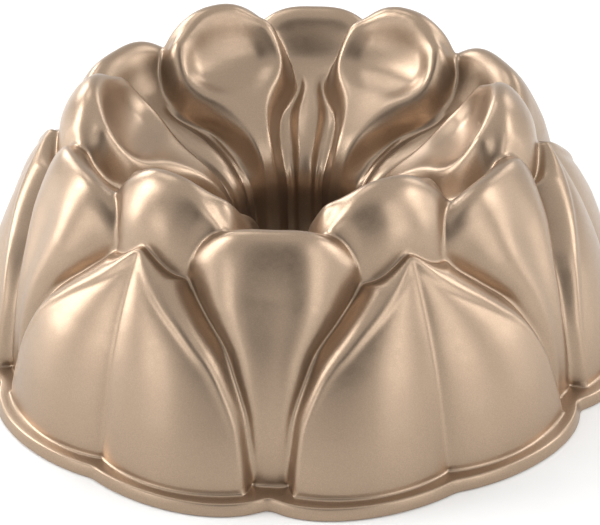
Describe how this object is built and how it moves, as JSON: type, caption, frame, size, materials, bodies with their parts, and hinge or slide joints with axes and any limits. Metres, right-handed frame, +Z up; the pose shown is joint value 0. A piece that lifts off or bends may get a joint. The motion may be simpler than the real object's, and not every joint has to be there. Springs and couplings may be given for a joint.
{
  "type": "bundt pan",
  "caption": "Cast flower-shaped ring cake mould with a centre tube, petal-fluted walls and a scalloped rim flange, standing upside down on its rim.",
  "frame": {"origin": "on the ring's axis, in the plane that the rim rests on", "axes": "+Z up along the ring's axis, from the rim towards the petals' tips; a mid petal faces -Y"},
  "size_m": [0.261, 0.2596, 0.0996],
  "materials": {
    "bronze_coated_casting": "satin metallic bronze release coating on cast aluminium"
  },
  "bodies": {
    "root": {"cast_pan": "bronze_coated_casting"}
  },
  "joints": []
}
